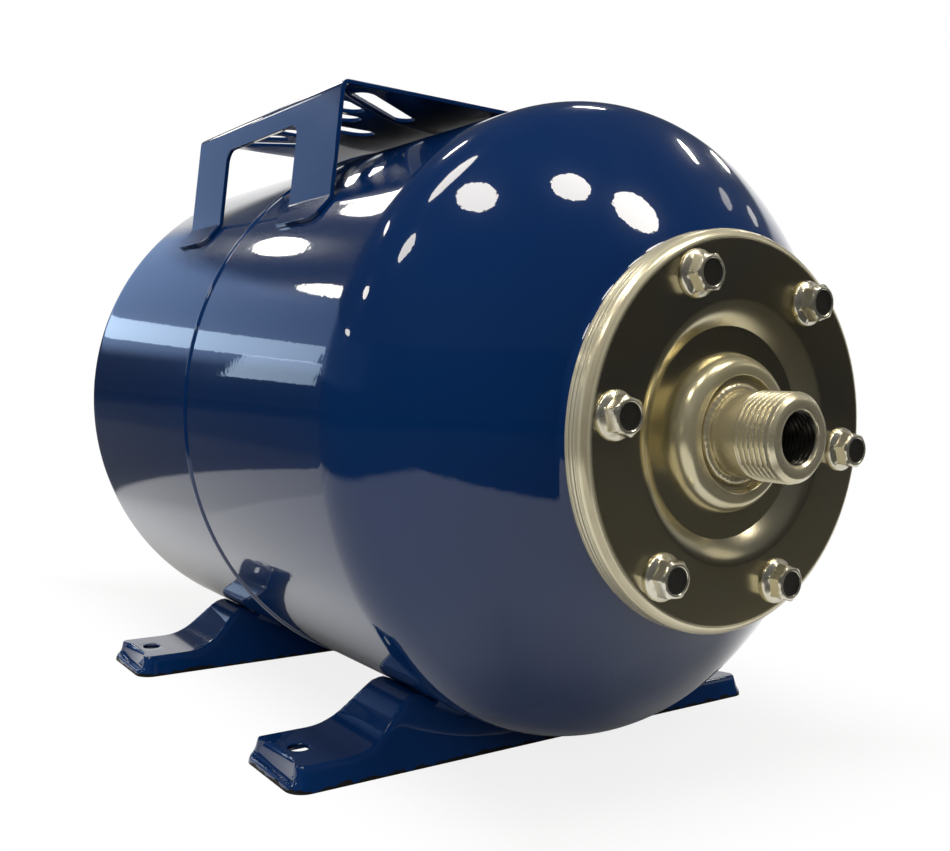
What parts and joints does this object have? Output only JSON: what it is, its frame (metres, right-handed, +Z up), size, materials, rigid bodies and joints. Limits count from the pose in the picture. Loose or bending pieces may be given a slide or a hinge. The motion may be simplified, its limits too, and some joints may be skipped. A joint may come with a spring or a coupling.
{
  "type": "water pressure tank",
  "caption": "Horizontal water pressure tank with a bolted end flange and threaded water connection, pressed feet and a slotted pump bracket on top.",
  "frame": {"origin": "centre of the bounding box's bottom face, on the floor under the tank axis", "axes": "+Y along the tank axis towards the air valve, so the water connection faces -Y; +Z up"},
  "size_m": [0.2718, 0.4852, 0.2885],
  "materials": {
    "tank_paint": "gloss",
    "zinc_plate": "satin",
    "bolt_zinc": "satin",
    "bare_steel": "satin",
    "bladder_rubber": "matte",
    "valve_brass": "satin",
    "cap_plastic": "matte"
  },
  "bodies": {
    "root": {"front_shell": "tank_paint", "rear_shell": "tank_paint", "seam_weld": "tank_paint", "neck_ring": "bare_steel", "bladder": "bladder_rubber", "end_flange": "zinc_plate", "inlet_stub": "zinc_plate", "stub_weld": "zinc_plate", "flange_bolts": "bolt_zinc", "front_foot": "tank_paint", "front_foot_welds": "tank_paint", "rear_foot": "tank_paint", "rear_foot_welds": "tank_paint", "pump_bracket": "tank_paint", "valve_stem": "valve_brass", "valve_seal": "bladder_rubber", "valve_washer": "bare_steel", "valve_nut": "valve_brass", "valve_core": "valve_brass", "valve_cap": "cap_plastic"}
  },
  "joints": []
}
